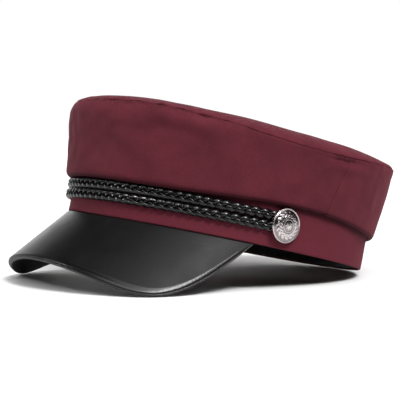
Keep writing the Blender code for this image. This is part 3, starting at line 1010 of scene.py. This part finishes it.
# A strip's section is an oval with flattened sides.
ring = np.radians(np.arange(STRIP_SIDES) * 360 / STRIP_SIDES)
section_wide = STRIP_HALF_WIDTH * np.sign(np.cos(ring)) * np.abs(np.cos(ring)) ** STRIP_FLATNESS
section_thick = STRIP_HALF_THICKNESS * np.sign(np.sin(ring)) * np.abs(np.sin(ring)) ** STRIP_FLATNESS
upright = np.array((0.0, 0.0, 1.0))
fine_turns = np.linspace(-BRAID_END_TURN, BRAID_END_TURN, 1601)
for braid, (height, seed) in BRAIDS.items():
    travel = travel_along(on_head(fine_turns, BRAID_OUT, height))
    way = np.linspace(0.0, travel[-1], round(travel[-1] / STRIP_STEP) + 1)
    turns = np.interp(way, travel, fine_turns)
    middles = on_head(turns, BRAID_OUT, height)
    facing = outward(turns)
    draws = np.random.default_rng(seed)
    strips = []
    for strip in range(STRIP_COUNT):
        places = np.linspace(0, travel[-1], PLAIT_DRIFT_PLACES)
        drift = np.interp(way, places, draws.normal(0.0, PLAIT_DRIFT, PLAIT_DRIFT_PLACES))
        phase = 2 * math.pi * (way / PLAIT_PERIOD + strip / STRIP_COUNT) + drift
        swing = PLAIT_SWING * np.sin(phase)
        rise = PLAIT_CROSSING * np.sin(2 * phase)
        path = middles + upright * swing[:, None] + facing * rise[:, None]
        along = unit(np.gradient(path, axis=0))
        wide = unit(np.cross(along, facing))
        thick = np.cross(wide, along)
        tilt = (STRIP_TILT * np.sin(phase))[:, None]
        tilted_wide = wide * np.cos(tilt) + thick * np.sin(tilt)
        tilted_thick = thick * np.cos(tilt) - wide * np.sin(tilt)
        grid = path[:, None] + tilted_wide[:, None] * section_wide[:, None]
        grid = grid + tilted_thick[:, None] * section_thick[:, None]
        strips.append(skin(f"braid_{braid}_strip", grid, braid_leather))
    cord = join(strips, f"braid_{braid}_plait")
    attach(cord, "root")
    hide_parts(f"braid_{braid}")

# ---------------------------------------------------------------- buttons
# A pressed and nickel-plated shank button at each side: a low dome inside a double rim. Its
# relief is a plain ring of leaves round a small rosette, as on many uniform buttons.

BUTTON_TURN = 82.8
BUTTON_HEIGHT = 0.0138
BUTTON_TILT = 11.0
BUTTON_RADIUS = 0.0101
BUTTON_DOME = 0.0046
BUTTON_RIM_WIDTH = 0.0006
BUTTON_RIM_HEIGHT = 0.0020
SHANK_RADIUS = 0.0020
# The relief, outwards from the middle: a boss, petals, a plain ring, and two rows of leaves,
# each with its radius, its slant in degrees and its height.
RELIEF_HEIGHT = 0.00020
BOSS_RADIUS = 0.0010
PETAL_COUNT = 8
PETAL_REACH = (0.0022, 0.0007)
PETAL_HEIGHT = 0.75
RING_RADIUS = 0.0037
RING_HALF_WIDTH = 0.00028
RING_HEIGHT = 0.45
LEAF_COUNT = 15
LEAF_ROWS = ((0.0054, 32, 0.85), (0.0072, -32, 1.0))
LEAF_HALF_LENGTH = 0.00165
LEAF_HALF_WIDTH = 0.00066
# A leaf narrows to its tip by this share, and its vein is so deep and so wide in shares of it.
LEAF_NARROWS = 0.35
VEIN_DEPTH = 0.45
VEIN_WIDTH = 0.16
# The double rim, the edge and the back, as (radius, height, shine) in millimetres.
RIM_SECTION = np.array([
    (9.30, 2.02, 0.2), (9.38, 2.04, 0.5), (9.46, 2.10, 1.0), (9.53, 2.12, 1.0), (9.60, 2.08, 1.0),
    (9.66, 2.01, 0.3), (9.72, 2.00, 0.3), (9.80, 2.05, 1.0), (9.88, 2.07, 1.0), (9.98, 2.01, 1.0),
    (10.07, 1.86, 1.0), (10.10, 1.60, 1.0), (10.10, 0.50, 1.0), (10.02, 0.20, 1.0),
    (9.80, 0.03, 1.0), (9.40, 0.00, 1.0), (6.00, 0.05, 1.0), (2.30, 0.00, 1.0), (2.00, -0.15, 1.0),
])
BUTTON_SIDES = 320
# The dome's rings: how many, how far out the first is, and how far the last is from the rim.
FACE_RINGS = 84
FACE_FIRST_RING = 0.00012
FACE_LAST_RING = 0.0003
NICKEL = "#cfc8c7"
NICKEL_SHADE = "#8a8284"
NICKEL_RUB = 0.002

# It leans on the cords, so that its back edge and its shank just clear the band behind them.
lean = math.sin(math.radians(BUTTON_TILT))
band_sag = BUTTON_RADIUS ** 2 * HEAD_HALF_WIDTH / HEAD_HALF_LENGTH ** 2 / 2
button_seat = BUTTON_RADIUS * lean - band_sag + GAP
shank_length = button_seat - GAP - SHANK_RADIUS * lean

# Bright nickel plate, with a dark wash left in the hollows of the relief.
nickel, tree, surface, place = new_material("antiqued_nickel_plate")
hollow = add_node(tree, "Attribute", attribute_name="relief").outputs["Fac"]
shade = add_node(tree, "MapRange", {
    "Value": hollow, "From Min": 0.0, "From Max": 0.55, "To Min": 0.0, "To Max": 1.0,
})
tone = add_node(tree, "MixRGB", {
    "Fac": shade.outputs["Result"], "Color1": linear(NICKEL_SHADE), "Color2": linear(NICKEL),
})
rubbed = add_node(tree, "TexNoise", {"Vector": place, "Scale": 1 / NICKEL_RUB, "Detail": 3.0})
gloss = add_node(tree, "MapRange", {
    "Value": rubbed.outputs["Fac"], "From Min": 0.3, "From Max": 0.7, "To Min": 0.12, "To Max": 0.24,
})
fill(tree, surface, {
    "Base Color": tone.outputs["Color"], "Roughness": gloss.outputs["Result"], "Metallic": 1.0,
})


def bump(value):
    """A rounded bump where the value is under 1: 1 in the middle and 0 at the edge."""
    return np.sqrt(np.clip(1 - value ** 2, 0.0, 1.0))


def button_relief(x, y):
    """The height of the raised pattern over the dome, from 0 to 1, at places in metres."""
    radius = np.hypot(x, y)
    around = np.arctan2(y, x)
    petals = PETAL_REACH[0] + PETAL_REACH[1] * np.cos(PETAL_COUNT * around)
    relief = np.maximum(PETAL_HEIGHT * bump(radius / petals), bump(radius / BOSS_RADIUS))
    ring = bump((radius - RING_RADIUS) / RING_HALF_WIDTH)
    relief = np.maximum(relief, RING_HEIGHT * ring)
    for leaf in range(LEAF_COUNT):
        for row, (row_radius, slant, row_height) in enumerate(LEAF_ROWS):
            angle = 2 * math.pi * (leaf + 0.5 * row) / LEAF_COUNT
            cosine = math.cos(angle + math.pi / 2 + math.radians(slant))
            sine = math.sin(angle + math.pi / 2 + math.radians(slant))
            apart_x = x - row_radius * math.cos(angle)
            apart_y = y - row_radius * math.sin(angle)
            along = (apart_x * cosine + apart_y * sine) / LEAF_HALF_LENGTH
            across = (apart_y * cosine - apart_x * sine) / LEAF_HALF_WIDTH
            leaf_shape = bump(np.hypot(along, across * (1 + LEAF_NARROWS * along)))
            vein = VEIN_DEPTH * np.exp(-(across / VEIN_WIDTH) ** 2)
            relief = np.maximum(relief, leaf_shape * (1 - vein) * row_height)
    return relief


inner_radius = BUTTON_RADIUS - BUTTON_RIM_WIDTH
face_rings = np.linspace(FACE_FIRST_RING, inner_radius - FACE_LAST_RING, FACE_RINGS)
face_radii = np.concatenate([[0.0], face_rings])
shank_end = np.array([(SHANK_RADIUS, -shank_length, 1.0), (0.0, -shank_length, 1.0)])
rim = np.concatenate([RIM_SECTION / np.array((1000, 1000, 1)), shank_end])
radii = np.concatenate([face_radii, rim[:, 0]])
ring_angles = np.radians(np.linspace(0.0, 360.0, BUTTON_SIDES + 1))[:, None]
x = radii * np.cos(ring_angles)
y = radii * np.sin(ring_angles)
relief = button_relief(x[:, :len(face_radii)], y[:, :len(face_radii)])
dome_height = BUTTON_DOME - RELIEF_HEIGHT - BUTTON_RIM_HEIGHT
dome = BUTTON_RIM_HEIGHT + dome_height * (1 - (face_radii / inner_radius) ** 2)
rim_height, rim_shine = (np.broadcast_to(rim[:, part], (len(x), len(rim))) for part in (1, 2))
height = np.concatenate([dome + RELIEF_HEIGHT * relief, rim_height], axis=1)
shine = np.concatenate([relief, rim_shine], axis=1)
button_grid = np.stack([x, y, height], axis=-1)

for name, turn in (("button_left", BUTTON_TURN), ("button_right", -BUTTON_TURN)):
    tilt = math.copysign(BUTTON_TILT, turn)
    facing = Matrix.Rotation(math.radians(tilt), 3, "Z") @ Vector(outward(np.array(turn)))
    seat = Vector(on_head(turn, button_seat, BUTTON_HEIGHT))
    turned = facing.to_track_quat("Z", "Y").to_matrix().to_4x4()
    place = cap_place @ Matrix.Translation(seat) @ turned
    button = skin(f"{name}_nickel", button_grid, nickel, None, place, shine)
    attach(button, "root")
    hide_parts(name)

# ---------------------------------------------------------------- floor, light and camera
# A wide sheet of white paper. A soft box, a wide overhead light and a front light hang high on
# the wearer's left, and three weaker ones stand lower on the right. The backdrop is white,
# but the room round the camera is dark, so that the leathers stay black.

# The camera stands this far round from the front, and the paper ends short of it.
VIEW_TURN = math.radians(57.5)
FLOOR_RADIUS = 3.0
FLOOR_FRONT = 0.58
PAPER_WHITE = "#e6e6e6"
PAPER_FIBRE = 0.002

paper, tree, surface, place = new_material("matt_white_paper")
fibre = add_node(tree, "TexNoise", {"Vector": place, "Scale": 1 / PAPER_FIBRE, "Detail": 2.0})
fibre_bump = add_node(tree, "Bump", {
    "Height": fibre.outputs["Fac"], "Strength": 0.05, "Distance": 0.0001,
})
fill(tree, surface, {
    "Base Color": linear(PAPER_WHITE), "Normal": fibre_bump.outputs["Normal"], "Roughness": 0.7,
})
angles = np.radians(np.arange(0, 360, 2))
rim = np.stack([np.cos(angles), np.sin(angles)], axis=-1) * FLOOR_RADIUS
to_camera = np.array((math.sin(VIEW_TURN), -math.cos(VIEW_TURN)))
too_far = np.maximum(rim @ to_camera - FLOOR_FRONT, 0.0)
rim -= too_far[:, None] * to_camera
edge = [(across, along, 0.0) for across, along in rim.tolist()]
mesh = bpy.data.meshes.new("paper_floor")
mesh.from_pydata(edge, [], [tuple(range(len(edge)))])
mesh.materials.append(paper)
floor = bpy.data.objects.new("paper_floor", mesh)
scene.collection.objects.link(floor)

# Each light's turn and elevation and how wide it looks, in degrees, and its strength in watts
# a square metre. All are white.
LIGHTS = {
    "key_softbox": (88, 52, 20, 3.0),
    "overhead_softbox": (116, 63, 60, 1.4),
    "front_softbox": (30, 51, 44, 1.25),
    "front_strip": (322, 36, 10, 0.42),
    "low_strip": (300, 8, 11, 0.5),
    "back_strip": (244, 9, 42, 1.4),
}
for name, (light_turn, elevation, width, power) in LIGHTS.items():
    light = bpy.data.lights.new(name, "SUN")
    light.angle = math.radians(width)
    light.energy = power
    lamp = bpy.data.objects.new(name, light)
    turn = math.radians(light_turn)
    rise = math.radians(elevation)
    way = Vector((math.sin(turn) * math.cos(rise), -math.cos(turn) * math.cos(rise), math.sin(rise)))
    lamp.location = way
    lamp.rotation_euler = way.to_track_quat("Z", "Y").to_euler()
    scene.collection.objects.link(lamp)

# The backdrop is what the camera sees past the paper, and the room is what lights the cap.
BACKDROP_WHITE = "#ffffff"
BACKDROP_STRENGTH = 1.02
ROOM_GREY = "#2c2a2b"

world = bpy.data.worlds.new("white_room")
scene.world = world
world.use_nodes = True
tree = world.node_tree
backdrop = tree.nodes["Background"]
fill(tree, backdrop, {"Color": linear(BACKDROP_WHITE), "Strength": BACKDROP_STRENGTH})
room = add_node(tree, "Background", {"Color": linear(ROOM_GREY), "Strength": 1.0})
seen = add_node(tree, "LightPath").outputs["Is Camera Ray"]
both = add_node(tree, "MixShader", {
    "Fac": seen, 1: room.outputs["Background"], 2: backdrop.outputs["Background"],
})
tree.links.new(both.outputs["Shader"], tree.nodes["World Output"].inputs["Surface"])

# A long lens, 1.1 m away and just above level. Its length and its sensor are in millimetres.
CAMERA_PLACE = (0.92461, -0.58820, 0.11535)
CAMERA_AIM = (-0.00417, -0.00217, 0.04751)
LENS = 159.5
SENSOR = 36.0

scene.view_settings.view_transform = "Standard"
camera_data = bpy.data.cameras.new("camera")
camera_data.lens = LENS
camera_data.sensor_width = SENSOR
camera = bpy.data.objects.new("camera", camera_data)
camera.location = CAMERA_PLACE
aim = Vector(CAMERA_AIM) - camera.location
camera.rotation_euler = aim.to_track_quat("-Z", "Y").to_euler()
scene.collection.objects.link(camera)
scene.camera = camera

bpy.context.view_layer.update()
